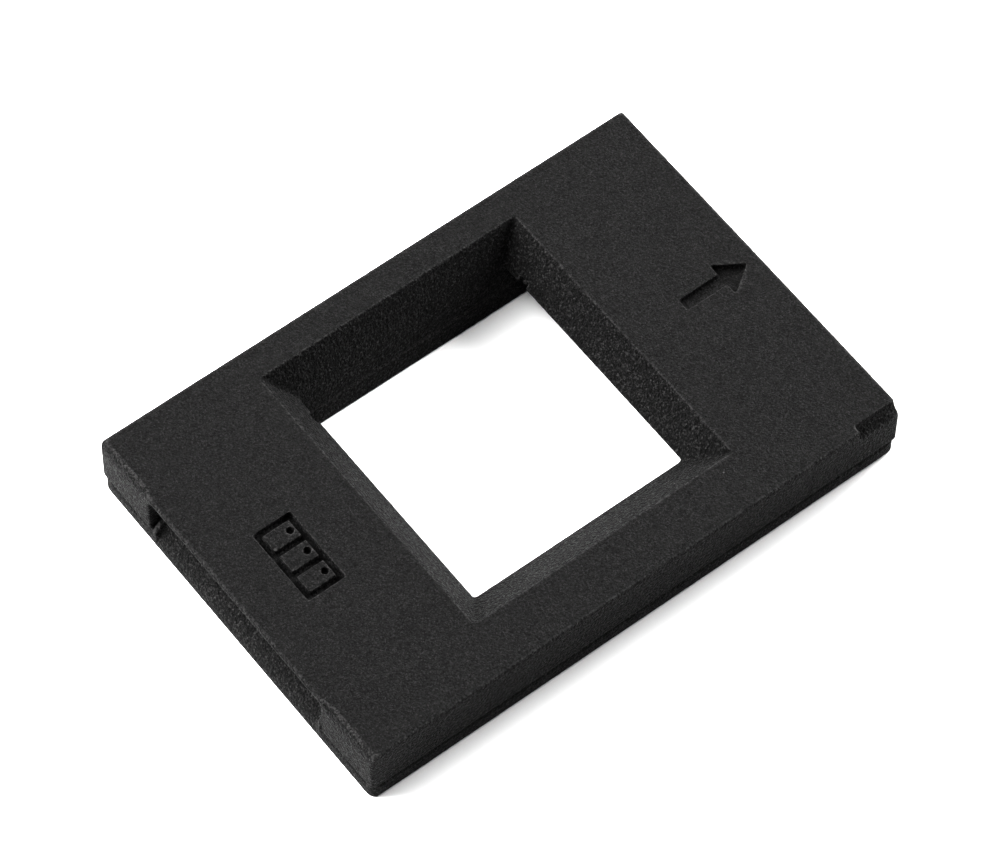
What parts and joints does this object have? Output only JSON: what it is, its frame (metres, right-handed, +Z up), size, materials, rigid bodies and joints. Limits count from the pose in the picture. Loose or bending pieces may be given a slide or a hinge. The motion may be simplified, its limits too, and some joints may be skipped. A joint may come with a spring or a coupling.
{
  "type": "negative carrier",
  "caption": "Flat two-part film carrier with a bevelled square window, a curved film channel with a mouth at each short end, and magnets that hold the halves shut.",
  "frame": {"origin": "middle of the underside", "axes": "+Y along the film, the way the arrow points; +Z up, out of the top face; +X across the film, to the right of the arrow"},
  "size_m": [0.06, 0.088, 0.011],
  "materials": {
    "nylon": "black sintered nylon, fine grain",
    "magnet": "nickel plate, satin"
  },
  "bodies": {
    "base": {"base_frame": "nylon", "base_magnet_1": "magnet", "base_magnet_2": "magnet", "base_magnet_3": "magnet", "base_magnet_4": "magnet"},
    "top": {"top_frame": "nylon", "top_magnet_1": "magnet", "top_magnet_2": "magnet", "top_magnet_3": "magnet", "top_magnet_4": "magnet"}
  },
  "joints": [
    {"name": "top_lift", "type": "slide", "parent": "base", "child": "top", "axis": [0, 0, 1], "range_m": [0, 0.02]}
  ]
}
